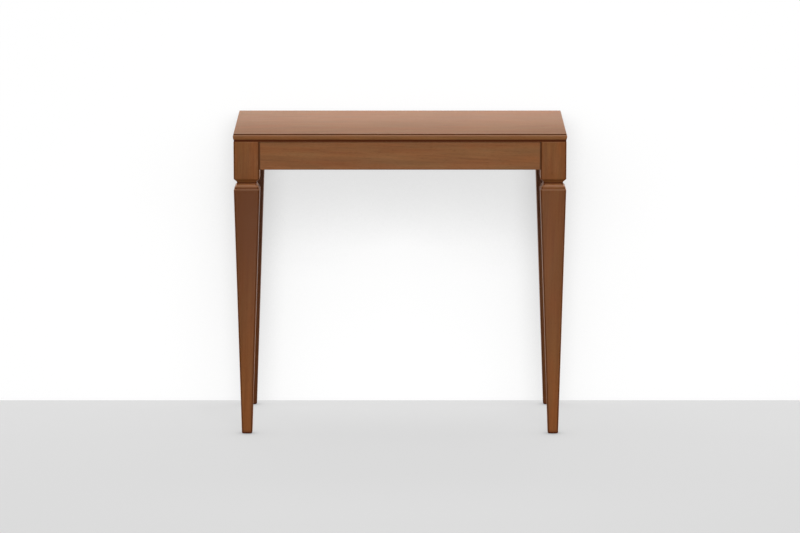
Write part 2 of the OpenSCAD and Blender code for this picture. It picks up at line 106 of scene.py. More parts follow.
def leg_outline(flare_steps=10):
    """Half width against height, from the foot up."""
    points = [
        (foot_half - foot_round * (1 - s), leg_low.z + foot_round * (1 - c)) for s, c in quarter(6)
    ]
    points += [
        (block_half - ledge_depth * (1 - c), ledge_foot - lip_height * (1 - s)) for s, c in quarter(10)
    ]
    neck = block_half - neck_depth
    crease = block_half - crease_depth
    spread = neck_depth - ledge_depth
    for i in range(flare_steps + 1):
        down = 1 - i / flare_steps
        points.append((neck + spread * down ** 3, flare_top + (flare_foot - flare_top) * down))
    points += [(crease, flare_top), (crease, crease_top), (neck, crease_top), (neck, neck_top)]
    points += [(block_half, block_foot), (block_half, leg_high.z - block_ease)]
    points.append((block_half - block_ease, leg_high.z))
    return eased(points, cut_ease)


def squared_ring(half, radius, height, steps=8):
    """Points round a square with rounded corners."""
    ring = []
    reach = (half - radius) * math.sqrt(2)
    for corner in range(4):
        middle = math.pi / 2 * corner + math.pi / 4
        for i in range(steps + 1):
            turn = math.pi / 2 * (corner + i / steps)
            across = reach * math.cos(middle) + radius * math.cos(turn)
            along = reach * math.sin(middle) + radius * math.sin(turn)
            ring.append((across, along, height))
    return ring


def skinned(name, rings, sharp=30):
    """A closed solid through a stack of rings, shaded smooth up to the sharp angle in degrees."""
    shell = bmesh.new()
    rows = [[shell.verts.new(p) for p in ring] for ring in rings]
    count = len(rings[0])
    for low, high in zip(rows, rows[1:]):
        for i in range(count):
            j = (i + 1) % count
            shell.faces.new((low[i], low[j], high[j], high[i]))
    shell.faces.new(rows[0][::-1])
    shell.faces.new(rows[-1])
    bmesh.ops.recalc_face_normals(shell, faces=shell.faces)
    mesh = bpy.data.meshes.new(name)
    shell.to_mesh(mesh)
    shell.free()
    mesh.shade_smooth()
    mesh.set_sharp_from_angle(angle=math.radians(sharp))
    piece = bpy.data.objects.new(name, mesh)
    bpy.context.scene.collection.objects.link(piece)
    return piece


def add(tree, kind, sockets=None, **settings):
    """A node with its settings, and its inputs set or linked by name or number."""
    made = tree.nodes.new(kind if "Node" in kind else "ShaderNode" + kind)
    for key, value in settings.items():
        setattr(made, key, value)
    for key, value in (sockets or {}).items():
        if isinstance(value, bpy.types.NodeSocket):
            tree.links.new(value, made.inputs[key])
        else:
            made.inputs[key].default_value = value
    return made


def calc(tree, operation, *values):
    """The result of one sum on values or sockets."""
    return add(tree, "Math", dict(enumerate(values)), operation=operation).outputs[0]


def ramp(tree, value, stops):
    """A colour ramp through stops of (place, grey level or colour)."""
    made = add(tree, "ValToRGB", {0: value})
    while len(made.color_ramp.elements) < len(stops):
        made.color_ramp.elements.new(0.5)
    for element, (place, shade) in zip(made.color_ramp.elements, stops):
        element.position = place
        element.color = (shade, shade, shade, 1) if isinstance(shade, (int, float)) else (*shade, 1)
    return made.outputs[0]


def mapped(tree, value, start, end, first=0.0, last=1.0, ease="LINEAR"):
    """first where the value is start, last where it is end, and held past both."""
    sockets = {0: value, 1: start, 2: end, 3: first, 4: last}
    return add(tree, "MapRange", sockets, interpolation_type=ease).outputs[0]


def stretched(tree, along, length, width, slant=0.0):
    """Object coordinates in which a noise is length long on one axis and width wide on the others.

    Both are in metres. The axes are 0, 1 and 2, and 3 makes the noise width
    wide all round.
    """
    place = add(tree, "TexCoord").outputs["Object"]
    scale = [length if axis == along else width for axis in range(3)]
    turn = [0 if axis == along else slant for axis in range(3)]
    sockets = {"Vector": place, "Rotation": turn, "Scale": scale}
    return add(tree, "Mapping", sockets, vector_type="TEXTURE").outputs[0]


def noise(tree, where, detail=3.0, rough=0.55, wander=0.0):
    """A noise of scale 1 on those coordinates, from 0 to 1."""
    sockets = {"Vector": where, "Scale": 1.0, "Detail": detail, "Roughness": rough, "Distortion": wander}
    return add(tree, "TexNoise", sockets).outputs["Fac"]


def tinted(tree, below, above, amount, blend="MIX"):
    """below with above laid over it by amount, through the colour sockets 6 and 7 of a Mix node."""
    made = add(tree, "Mix", data_type="RGBA", blend_type=blend)
    for key, value in ((0, amount), (6, below), (7, above)):
        if isinstance(value, bpy.types.NodeSocket):
            tree.links.new(value, made.inputs[key])
        else:
            made.inputs[key].default_value = (*value, 1) if isinstance(value, tuple) else value
    return made.outputs[2]


def between(tree, value, low, high, soft):
    """1 between low and high, falling to 0 over twice soft at each end."""
    rise = mapped(tree, value, low - soft, low + soft)
    fall = mapped(tree, value, high + soft, high - soft)
    return calc(tree, "MULTIPLY", rise, fall)


def material(name):
    """An empty material with its tree and its main shader."""
    made = bpy.data.materials.new(name)
    made.use_nodes = True
    return made, made.node_tree, made.node_tree.nodes["Principled BSDF"]


def scaled(colour, share):
    """The colour with its three parts multiplied by share."""
    return tuple(min(1.0, part * share) for part in colour)


def grained(tree, along, pale, mid, dark):
    """Walnut with its grain along one axis: its colour, its fibres and its pores."""
    figure = noise(tree, stretched(tree, along, 0.42, 0.016, 0.035), 3.0, 0.5, 0.9)
    bands = noise(tree, stretched(tree, along, 0.20, 0.0050, 0.030), 3.0, 0.6, 0.5)
    fibre = noise(tree, stretched(tree, along, 0.045, 0.0008, 0.012), 2.0, 0.6)
    pore = noise(tree, stretched(tree, along, 0.012, 0.00032), 1.0, 0.5)
    cloud = noise(tree, stretched(tree, along, 0.15, 0.022, 0.05), 2.0, 0.5)
    colour = tinted(tree, mid, pale, ramp(tree, figure, [(0.35, 0.0), (0.72, 1.0)]))
    colour = tinted(tree, colour, dark, ramp(tree, bands, [(0.46, 0.0), (0.80, 0.36)]))
    colour = tinted(tree, colour, dark, ramp(tree, fibre, [(0.45, 0.0), (0.85, 0.28)]))
    pores = ramp(tree, pore, [(0.62, 0.0), (0.70, 1.0)])
    colour = tinted(tree, colour, scaled(dark, 0.45), calc(tree, "MULTIPLY", pores, 0.45))
    hue = ramp(tree, cloud, [(0.34, (1.045, 0.945, 0.88)), (0.66, (0.96, 1.035, 1.09))])
    return tinted(tree, colour, hue, 1.0, "MULTIPLY"), fibre, pores


def upright_corner_shade(tree, facing, strength):
    """Painted shade of that strength on the rounded upright corners of a leg, fading towards its left and
    right faces.
    """
    parts = add(tree, "SeparateXYZ", {0: facing}).outputs
    across, ahead = [calc(tree, "POWER", parts[axis], 2.0) for axis in ("X", "Y")]
    corner = ramp(tree, calc(tree, "MULTIPLY", across, ahead), [(0.0006, 0.0), (0.04, strength)])
    return calc(tree, "MULTIPLY", corner, ramp(tree, ahead, [(0.35, 0.0), (0.60, 1.0)]))


def worn_edges(tree, facing):
    """A quarter on sharp outer edges, where the stain is worn, and 0 on the faces."""
    blunt = add(tree, "Bevel", {"Radius": 0.0010}, samples=6).outputs[0]
    turn = add(tree, "VectorMath", {0: blunt, 1: facing}, operation="DOT_PRODUCT").outputs["Value"]
    return ramp(tree, turn, [(0.90, 0.25), (0.995, 0.0)])


# Colour of the painted shade in grooves, creases and under the feet.
painted_shade_brown = (0.070, 0.013, 0.001)
# Colour of the painted highlights on raised bands.
painted_highlight_brown = (0.340, 0.170, 0.092)


def walnut_stain(
    name, along, pale, mid, dark,
    painted_shade_bands=(), painted_highlight_bands=(), recess=0.004, arris=0.0, shade_by_height=(), joint=0.0, sawn=0.0,
):
    """Satin walnut stain with its grain along one axis.

    painted_shade_bands lists the height ranges that are painted dark and made
    rougher, as painted shade in grooves, creases and under the feet, and
    painted_highlight_bands those painted paler as painted highlights, each with
    a strength. recess is how far from another surface the colour is darkened, as
    painted shade in hollows. arris is how dark the upright corners are painted,
    as painted shade. shade_by_height lists heights with the strength of the
    painted shade there. Past joint and within sawn, both measured along the grain
    from the middle of the table, the colour is darker: as painted shade against
    the legs, and close to the cut in the middle.
    """
    made, tree, shader = material(name)
    colour, fibre, pores = grained(tree, along, pale, mid, dark)
    place = add(tree, "SeparateXYZ", {0: add(tree, "TexCoord").outputs["Object"]}).outputs
    facing = add(tree, "NewGeometry").outputs["Normal"]
    # Painted shade that changes with height.
    if shade_by_height:
        colour = tinted(tree, colour, dark, ramp(tree, place["Z"], shade_by_height))
    # Painted shade on the upright corners.
    if arris:
        colour = tinted(tree, colour, scaled(dark, 0.6), upright_corner_shade(tree, facing, arris))
    # Painted shade in hollows, where another surface is near.
    hollow_shade = add(tree, "AmbientOcclusion", {"Distance": recess}, samples=12).outputs["AO"]
    colour = tinted(tree, colour, scaled(dark, 0.3), ramp(tree, hollow_shade, [(0.45, 1.0), (0.92, 0.0)]))
    colour = tinted(tree, colour, scaled(pale, 1.25), worn_edges(tree, facing))
    reach = calc(tree, "ABSOLUTE", place["XYZ"[along]])
    # Painted shade on the board's ends against the legs.
    if joint:
        thick = mapped(tree, reach, joint - 0.0006, joint + 0.0006, 0.0, 0.8)
        colour = tinted(tree, colour, scaled(dark, 0.4), thick)
    # Darker close to the middle, where the boards are cut.
    if sawn:
        cut_darkening = mapped(tree, reach, sawn / 2, sawn, 0.8, 0.0)
        colour = tinted(tree, colour, scaled(dark, 0.4), cut_darkening)
    # Painted highlights in bands.
    for foot, head, strength in painted_highlight_bands:
        band = between(tree, place["Z"], foot, head, 0.0010)
        colour = tinted(tree, colour, painted_highlight_brown, calc(tree, "MULTIPLY", band, strength))
    gloss = noise(tree, stretched(tree, along, 0.08, 0.02), 4.0, 0.6)
    rough = mapped(tree, gloss, 0.0, 1.0, 0.38, 0.48)
    rough = calc(tree, "ADD", rough, calc(tree, "MULTIPLY", pores, 0.12))
    # Painted shade in bands, which are also rougher.
    for foot, head in painted_shade_bands:
        band = between(tree, place["Z"], foot, head, 0.0003)
        colour = tinted(tree, colour, painted_shade_brown, band)
        rough = calc(tree, "ADD", rough, calc(tree, "MULTIPLY", band, 0.4))
    relief = calc(tree, "SUBTRACT", fibre, pores)
    bump = add(tree, "Bump", {"Strength": 0.25, "Distance": 0.00012, "Height": relief})
    tree.links.new(colour, shader.inputs["Base Color"])
    tree.links.new(rough, shader.inputs["Roughness"])
    tree.links.new(bump.outputs[0], shader.inputs["Normal"])
    shader.inputs["IOR"].default_value = 1.45
    shader.inputs["Specular IOR Level"].default_value = 0.23
    return made


leg_tones = (0.252, 0.0905, 0.0235), (0.210, 0.0740, 0.0190), (0.110, 0.031, 0.006)
shade_band_lap = 0.0003
foot_shade_height = 0.0056

# How strongly a leg is darkened by painted shade at its foot, half way up
# and at the neck. The rear legs carry the most, as painted shadow.
leg_painted_shade = {
    ("front", "left"): (0.19, 0.57, 0.89),
    ("front", "right"): (0.18, 0.37, 0.47),
    ("rear", "left"): (0.95, 0.80, 1.00),
    ("rear", "right"): (0.70, 0.55, 1.00),
}

for (end, hand), (low_shade, middle_shade, neck_shade) in leg_painted_shade.items():
    leg_wood_painted_shade = walnut_stain(
        f"{end}_leg_wood_{hand}", 2, *leg_tones,
        # Painted shade in the crease under the neck and along the foot's lower edge.
        painted_shade_bands=[(flare_top - shade_band_lap, crease_top + shade_band_lap), (-0.001, foot_shade_height)],
        # Painted highlights on the flare and on the lip.
        painted_highlight_bands=[
            (flare_foot + 0.0005, flare_foot + 0.0047, 0.52),
            (ledge_foot - 0.0022, ledge_foot + 0.0010, 0.38),
        ],
        recess=0.0022,
        arris=0.9,
        # Painted shade that changes with height up the leg.
        shade_by_height=[
            (0.0075, 0.7), (0.0100, low_shade), (0.10, low_shade), (0.35, middle_shade),
            (0.50, neck_shade * 0.95), (flare_foot, neck_shade), (flare_foot + 0.001, 0.12),
        ],
    )
    x = leg_centre_x if hand == "left" else -leg_centre_x
    y = leg_centre_y if end == "front" else -leg_centre_y
    rings = []
    for half, z in leg_outline():
        lean = foot_out * max(0.0, 1 - z / shaft_top)
        middle = Vector((x + math.copysign(lean, x), y + math.copysign(lean, y), 0))
        corner = min(arris_radius, half * 0.4)
        rings.append([middle + Vector(point) for point in squared_ring(half, corner, z)])
    leg = skinned(f"{end}_leg_{hand}_turned", rings)
    leg.data.materials.append(leg_wood_painted_shade)
    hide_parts(f"{end}_leg_{hand}")
    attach(leg, f"{end}_frame")

# ---- Aprons -------------------------------------------------------------
# Veneered boards between the legs, with the grain lying along them and the
# lower edges eased. The side boards are cut at the middle, where the table
# opens.

apron_tones = (0.265, 0.106, 0.034), (0.220, 0.084, 0.026), (0.120, 0.042, 0.012)
# How far in from a board's end its painted shade against the leg reaches.
joint_shade_width = 0.0018
# How far from the middle the side boards are darker, at their cut.
cut_darkening_width = 0.0012
apron_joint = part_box("front_apron")[1].x - joint_shade_width
side_joint = -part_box("front_side_apron_left")[0].y - joint_shade_width
apron_wood = walnut_stain("apron_wood", 0, *apron_tones, joint=apron_joint)
side_apron_wood = walnut_stain("side_apron_wood", 1, *apron_tones, joint=side_joint, sawn=cut_darkening_width)


def finish_node(name, finish):
    """Gives a CAD node its finish."""
    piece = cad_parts[name]
    piece.data.materials.clear()
    piece.data.materials.append(finish)


for end in ("front", "rear"):
    finish_node(f"{end}_apron", apron_wood)
    for hand in ("left", "right"):
        finish_node(f"{end}_side_apron_{hand}", side_apron_wood)

# ---- Tops ---------------------------------------------------------------
# Two veneered half tops that meet on a hairline across the table. Three
# edges of each are moulded: a step and a fine quirk, a rounded belly, and
# under it a groove. The groove and the quirk are painted dark as painted
# shade, and the belly's shoulder paler as a painted highlight.

top_low, top_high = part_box("front_top")
seam_half = 0.00004
seam_ease = 0.00035
top_arris = 0.0005
groove_height = 0.006
groove_back = 0.002
belly_back = 0.0013
shoulder_height = 0.0045
quirk_back = 0.0022
step_height = 0.0024
step_back = 0.0015
step_foot = top_high.z - step_height


def moulding(steps=8):
    """Distance in from the widest line against height, from the underside up."""
    belly_top = step_foot - shoulder_height
    belly_foot = top_low.z + groove_height
    points = [(groove_back, top_low.z), (groove_back, belly_foot)]
    for i in range(steps + 1):
        back = belly_back * (1 - i / steps) ** 2
        points.append((back, belly_foot + (belly_top - belly_foot) * i / steps))
    points += [(quirk_back * (1 - c), belly_top + shoulder_height * s) for s, c in quarter(steps)[1:]]
    points += [(step_back, top_high.z - step_height * 0.8), (step_back, top_high.z - top_arris)]
    points.append((step_back + top_arris * 0.3, top_high.z - top_arris * 0.3))
    return points + [(step_back + top_arris, top_high.z)]


def bored(piece, holes, overrun=0.002):
    """Cuts round holes, each given by its mouth, direction, radius and depth."""
    drill = bmesh.new()
    for mouth, way, radius, depth in holes:
        turn = way.to_track_quat("Z", "Y").to_matrix().to_4x4()
        place = Matrix.Translation(mouth + way * (depth - overrun) / 2) @ turn
        bmesh.ops.create_cone(
            drill, cap_ends=True, segments=48, radius1=radius, radius2=radius,
            depth=depth + overrun, matrix=place,
        )
    mesh = bpy.data.meshes.new("drill")
    drill.to_mesh(mesh)
    drill.free()
    cutter = bpy.data.objects.new("drill", mesh)
    bpy.context.scene.collection.objects.link(cutter)
    cut = piece.modifiers.new("bores", "BOOLEAN")
    cut.operation, cut.solver, cut.object = "DIFFERENCE", "EXACT", cutter
    cleared = piece.evaluated_get(bpy.context.evaluated_depsgraph_get())
    piece.data = bpy.data.meshes.new_from_object(cleared)
    piece.modifiers.clear()
    bpy.data.objects.remove(cutter)
    piece.data.set_sharp_from_angle(angle=math.radians(30))


top_tones = (0.276, 0.114, 0.036), (0.228, 0.090, 0.028), (0.122, 0.044, 0.012)
step_shade_foot = step_foot - 0.0006
top_wood = walnut_stain(
    "top_wood", 0, *top_tones,
    # Painted shade in the groove and in the step's quirk.
    painted_shade_bands=[(top_low.z + 0.0004, top_low.z + groove_height), (step_shade_foot, top_high.z - 0.0006)],
    # Painted highlights on the belly's shoulder.
    painted_highlight_bands=[(step_foot - 0.0028, step_shade_foot, 0.42), (step_foot - 0.0060, step_shade_foot, 0.10)],
    recess=0.0015,
)

pin_low, pin_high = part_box("alignment_pins")
pin_radius = 0.004
pin_play = 0.0001
pin_height = (pin_low.z + pin_high.z) / 2
pin_places = (pin_low.x + pin_radius, 0.0, pin_high.x - pin_radius)
front_bore = 0.021
rear_bore = 0.013

for end, way, bore_depth in (("front", 1, front_bore), ("rear", -1, rear_bore)):
    rings = []
    for back, z in moulding():
        seam = -way * (seam_half + seam_ease * max(0.0, 1 - (top_high.z - z) / top_arris) ** 2)
        edge = way * (top_low.y + back)
        left, right = top_low.x + back, top_high.x - back
        rings.append([(left, seam, z), (left, edge, z), (right, edge, z), (right, seam, z)])
    top = skinned(f"{end}_top_moulded", rings)
    top.data.materials.append(top_wood)
    mouths = [Vector((x, -way * seam_half, pin_height)) for x in pin_places]
    inward = Vector((0, -way, 0))
    bored(top, [(mouth, inward, pin_radius + pin_play, bore_depth) for mouth in mouths])
    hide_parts(f"{end}_top")
    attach(top, f"{end}_frame")

# ---- Cleats and alignment pins ------------------------------------------
# Unfinished beech. The cleats are screwed inside the aprons and up into the
# tops. The pins are glued in the front top and enter the rear top.


beech_pale = (0.560, 0.375, 0.205)
beech_dark = (0.420, 0.255, 0.125)
beech_fleck = (0.250, 0.135, 0.062)


def raw_beech():
    """Planed beech without a finish, with short flecks."""
    made, tree, shader = material("raw_beech")
    fibre = noise(tree, stretched(tree, 0, 0.05, 0.0015), 3.0, 0.6, 0.3)
    fleck = noise(tree, stretched(tree, 0, 0.004, 0.0007), 1.0, 0.5)
    colour = tinted(tree, beech_pale, beech_dark, ramp(tree, fibre, [(0.4, 0.0), (0.8, 1.0)]))
    colour = tinted(tree, colour, beech_fleck, ramp(tree, fleck, [(0.62, 0.0), (0.70, 0.6)]))
    tree.links.new(colour, shader.inputs["Base Color"])
    tree.links.new(ramp(tree, fibre, [(0.3, 0.62), (0.7, 0.78)]), shader.inputs["Roughness"])
    bump = add(tree, "Bump", {"Strength": 0.4, "Distance": 0.0002, "Height": fibre})
    tree.links.new(bump.outputs[0], shader.inputs["Normal"])
    return made


beech = raw_beech()
for name in ("front_top_cleats", "rear_top_cleats"):
    finish_node(name, beech)


def round_faces(node, radius, slack=0.00006):
    """Centre and outward direction of every flat disc of that radius in a CAD node."""
    solid = bmesh.new()
    solid.from_mesh(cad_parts[node].data)
    found, seen = [], set()
    for first in solid.faces:
        if first in seen:
            continue
        seen.add(first)
        island = [first]
        for face in island:
            for near in {n for edge in face.edges for n in edge.link_faces} - seen:
                seen.add(near)
                island.append(near)
        if any(face.normal.dot(first.normal) < 0.999 for face in island):
            continue
        corners = [vertex.co for face in island for vertex in face.verts]
        axes = list(zip(*corners))
        centre = Vector([(min(axis) + max(axis)) / 2 for axis in axes])
        reach = max((corner - centre).length for corner in corners)
        area = sum(face.calc_area() for face in island)
        full = area > 0.97 * math.pi * reach ** 2
        if full and abs(reach - radius) < slack:
            found.append((centre, first.normal.copy()))
    solid.free()
    return found


def new_tree(name, sizes):
    """A Geometry Nodes tree that reads places, named sizes and a finish."""
    tree = bpy.data.node_groups.new(name, "GeometryNodeTree")
    tree.interface.new_socket("Places", in_out="INPUT", socket_type="NodeSocketGeometry")
    for size in sizes:
        tree.interface.new_socket(size, in_out="INPUT", socket_type="NodeSocketFloat")
    tree.interface.new_socket("Finish", in_out="INPUT", socket_type="NodeSocketMaterial")
    tree.interface.new_socket("Pieces", in_out="OUTPUT", socket_type="NodeSocketGeometry")
    return tree, add(tree, "NodeGroupInput").outputs


def round_bar(tree, radius, length, sides, rows):
    """A bar round the Z axis, with the parts of its points' places and their turn round the axis."""
    sockets = {"Vertices": sides, "Side Segments": rows, "Radius": radius, "Depth": length}
    bar = add(tree, "GeometryNodeMeshCylinder", sockets).outputs["Mesh"]
    place = add(tree, "GeometryNodeInputPosition").outputs[0]
    parts = add(tree, "SeparateXYZ", {0: place}).outputs
    return bar, parts, calc(tree, "ARCTAN2", parts["Y"], parts["X"])


def reshaped(tree, bar, parts, factor):
    """The bar with its radius multiplied by factor, point by point."""
    across = [calc(tree, "MULTIPLY", parts[axis], factor) for axis in ("X", "Y")]
    place = add(tree, "CombineXYZ", {0: across[0], 1: across[1], 2: parts["Z"]}).outputs[0]
    return add(tree, "GeometryNodeSetPosition", {"Geometry": bar, "Position": place}).outputs[0]


def shifted(tree, shape, height):
    """The shape moved up by height."""
    lift = add(tree, "CombineXYZ", {2: height}).outputs[0]
    return add(tree, "GeometryNodeTransform", {"Geometry": shape, "Translation": lift}).outputs[0]


def joined(tree, *shapes):
    """The shapes side by side as one."""
    made = add(tree, "GeometryNodeJoinGeometry")
    for shape in shapes:
        tree.links.new(shape, made.inputs[0])
    return made.outputs[0]


def set_out(tree, given, shape, spin=2.4):
    """Puts the shape at every place, pointing the way the place does, and ends the tree.

    Each copy is turned round its own axis by spin radians more than the last.
    """
    way = add(tree, "GeometryNodeInputNamedAttribute", {"Name": "direction"}, data_type="FLOAT_VECTOR")
    aim = add(tree, "FunctionNodeAlignRotationToVector", {"Vector": way.outputs[0]}, axis="Z").outputs[0]
    turn = calc(tree, "MULTIPLY", add(tree, "GeometryNodeInputIndex").outputs[0], spin)
    turn = add(tree, "CombineXYZ", {2: turn}).outputs[0]
    turn = add(tree, "FunctionNodeEulerToRotation", {0: turn}).outputs[0]
    aim = add(tree, "FunctionNodeRotateRotation", {0: aim, 1: turn}, rotation_space="LOCAL").outputs[0]
    sockets = {"Points": given["Places"], "Instance": shape, "Rotation": aim}
    pieces = add(tree, "GeometryNodeInstanceOnPoints", sockets).outputs[0]
    pieces = add(tree, "GeometryNodeRealizeInstances", {"Geometry": pieces}).outputs[0]
    sockets = {"Geometry": pieces, "Material": given["Finish"]}
    pieces = add(tree, "GeometryNodeSetMaterial", sockets).outputs[0]
    tree.links.new(pieces, add(tree, "NodeGroupOutput").inputs[0])


def baked(tree, places, sizes, finish):
    """The plain mesh that the tree makes at the places, each a point and a direction."""
    mesh = bpy.data.meshes.new(tree.name)
    mesh.from_pydata([point for point, way in places], [], [])
    ways = mesh.attributes.new("direction", "FLOAT_VECTOR", "POINT")
    ways.data.foreach_set("vector", [v for point, way in places for v in way])
    carrier = bpy.data.objects.new(tree.name, mesh)
    bpy.context.scene.collection.objects.link(carrier)
    modifier = carrier.modifiers.new(tree.name, "NODES")
    modifier.node_group = tree
    for item in tree.interface.items_tree:
        if item.item_type == "SOCKET" and item.name in sizes:
            modifier[item.identifier] = float(sizes[item.name])
        if item.item_type == "SOCKET" and item.name == "Finish":
            modifier[item.identifier] = finish
    made = bpy.data.meshes.new_from_object(carrier.evaluated_get(bpy.context.evaluated_depsgraph_get()))
    carrier.modifiers.remove(modifier)
    bpy.data.objects.remove(carrier)
    return made


def fitted(name, node, body, meshes, sharp=30):
    """Puts one plain piece made of the meshes in place of a CAD node."""
    whole = bmesh.new()
    for mesh in meshes:
        whole.from_mesh(mesh)
    made = bpy.data.meshes.new(name)
    whole.to_mesh(made)
    whole.free()
    made.materials.append(meshes[0].materials[0])
    made.shade_smooth()
    made.set_sharp_from_angle(angle=math.radians(sharp))
    piece = bpy.data.objects.new(name, made)
    bpy.context.scene.collection.objects.link(piece)
    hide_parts(node)
    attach(piece, body)


def fluted_pins(flutes=12):
    """Round pins with flutes along them and a rounded nose at both ends."""
    tree, given = new_tree("fluted_pins", ("Radius", "Length", "Nose", "Flute Depth"))
    bar, parts, turn = round_bar(tree, given["Radius"], given["Length"], 72, 64)
    half = calc(tree, "MULTIPLY", given["Length"], 0.5)
    end = calc(tree, "SUBTRACT", half, calc(tree, "ABSOLUTE", parts["Z"]))
    nose = mapped(tree, end, 0.0, given["Nose"], 0.72, 1.0, "SMOOTHSTEP")
    wave = calc(tree, "ABSOLUTE", calc(tree, "COSINE", calc(tree, "MULTIPLY", turn, flutes / 2)))
    flute = calc(tree, "MULTIPLY", calc(tree, "POWER", wave, 6.0), given["Flute Depth"])
    flute = calc(tree, "SUBTRACT", 1.0, flute)
    set_out(tree, given, reshaped(tree, bar, parts, calc(tree, "MULTIPLY", nose, flute)))
    return tree


pin_middle = (pin_low.y + pin_high.y) / 2
pin_sizes = {"Radius": pin_radius, "Length": pin_high.y - pin_low.y, "Nose": 0.0018, "Flute Depth": 0.05}
pin_spots = [(Vector((x, pin_middle, pin_height)), Vector((0, 1, 0))) for x in pin_places]
pins = baked(fluted_pins(), pin_spots, pin_sizes, beech)
fitted("alignment_pins_fluted", "alignment_pins", "front_frame", [pins], 50)

# ---- Corner brackets, bolts and screws ----------------------------------
# Zinc-plated steel. A pressed bracket spans each corner inside the aprons,
# and two threaded bolts through it, each with a washer and a nut, draw the
# leg into the corner. The screws have cross recesses.


def zinc_plate():
    """Bright zinc on steel, slightly patchy, with its edges softened."""
    made, tree, shader = material("zinc_steel")
    patch = noise(tree, stretched(tree, 3, 1.0, 0.012), 4.0, 0.6, 0.4)
    fine = noise(tree, stretched(tree, 3, 1.0, 0.0009), 2.0, 0.5)
    colour = tinted(tree, (0.52, 0.53, 0.54), (0.66, 0.655, 0.62), patch)
    tree.links.new(colour, shader.inputs["Base Color"])
    tree.links.new(ramp(tree, patch, [(0.3, 0.30), (0.7, 0.46)]), shader.inputs["Roughness"])
    soft = add(tree, "Bevel", {"Radius": 0.0005}, samples=6).outputs[0]
    bump = add(tree, "Bump", {"Strength": 0.2, "Distance": 0.00008, "Height": fine, "Normal": soft})
    tree.links.new(bump.outputs[0], shader.inputs["Normal"])
    shader.inputs["Metallic"].default_value = 1.0
    return made


def threaded(tree, radius, length, pitch, depth, tip, sides=16, rows_per_turn=5.0):
    """A bar with a thread round it and a tapered tip at its upper end.

    depth is the depth of the thread as a share of the radius.
    """
    rows = calc(tree, "MULTIPLY", calc(tree, "DIVIDE", length, pitch), rows_per_turn)
    bar, parts, turn = round_bar(tree, radius, length, sides, rows)
    wind = calc(tree, "DIVIDE", turn, 2 * math.pi)
    wind = calc(tree, "ADD", calc(tree, "DIVIDE", parts["Z"], pitch), wind)
    groove = calc(tree, "MULTIPLY", calc(tree, "PINGPONG", wind, 0.5), calc(tree, "MULTIPLY", depth, 2.0))
    head = calc(tree, "MULTIPLY", length, 0.5)
    point = mapped(tree, parts["Z"], calc(tree, "SUBTRACT", head, tip), head, 1.0, 0.15)
    shape = reshaped(tree, bar, parts, calc(tree, "MULTIPLY", calc(tree, "SUBTRACT", 1.0, groove), point))
    return shifted(tree, shape, head)


def cut(tree, operation, body, *tools):
    """The body less the tools, or what the body and the tools have in common."""
    made = add(tree, "GeometryNodeMeshBoolean", operation=operation, solver="EXACT")
    shapes = [body, *tools]
    if operation == "DIFFERENCE":
        tree.links.new(shapes.pop(0), made.inputs["Mesh 1"])
    for shape in shapes:
        tree.links.new(shape, made.inputs["Mesh 2"])
    return made.outputs["Mesh"]


def recessed_screws(thread_depth=0.22, arm_length=1.15, arm_width=0.26):
    """Screws with a turned head below the place and a threaded shank above it.

    The arms of the cross recess are shares of the radius of the head's face.
    """
    tree, given = new_tree("recessed_screws", (
        "Shank Radius", "Length", "Pitch", "Tip",
        "Seat Radius", "Face Radius", "Head Height", "Dome", "Recess",
    ))
    bar, parts = round_bar(tree, 1.0, given["Head Height"], 32, 8)[:2]
    down = calc(tree, "SUBTRACT", 0.5, calc(tree, "DIVIDE", parts["Z"], given["Head Height"]))
    spread = calc(tree, "SUBTRACT", given["Face Radius"], given["Seat Radius"])
    reach = calc(tree, "MULTIPLY", spread, calc(tree, "POWER", down, given["Dome"]))
    head = reshaped(tree, bar, parts, calc(tree, "ADD", given["Seat Radius"], reach))
    head = shifted(tree, head, calc(tree, "MULTIPLY", given["Head Height"], -0.5))
    face = calc(tree, "MULTIPLY", given["Head Height"], -1.0)
    arms = []
    for shares in ((arm_length, arm_width), (arm_width, arm_length)):
        wide, deep = [calc(tree, "MULTIPLY", given["Face Radius"], share) for share in shares]
        size = add(tree, "CombineXYZ", {0: wide, 1: deep, 2: given["Recess"]}).outputs[0]
        arm = add(tree, "GeometryNodeMeshCube", {"Size": size}).outputs[0]
        arms.append(shifted(tree, arm, face))
    head = cut(tree, "DIFFERENCE", head, *arms)
    shank = threaded(
        tree, given["Shank Radius"], given["Length"], given["Pitch"], thread_depth, given["Tip"]
    )
    set_out(tree, given, joined(tree, head, shank))
    return tree


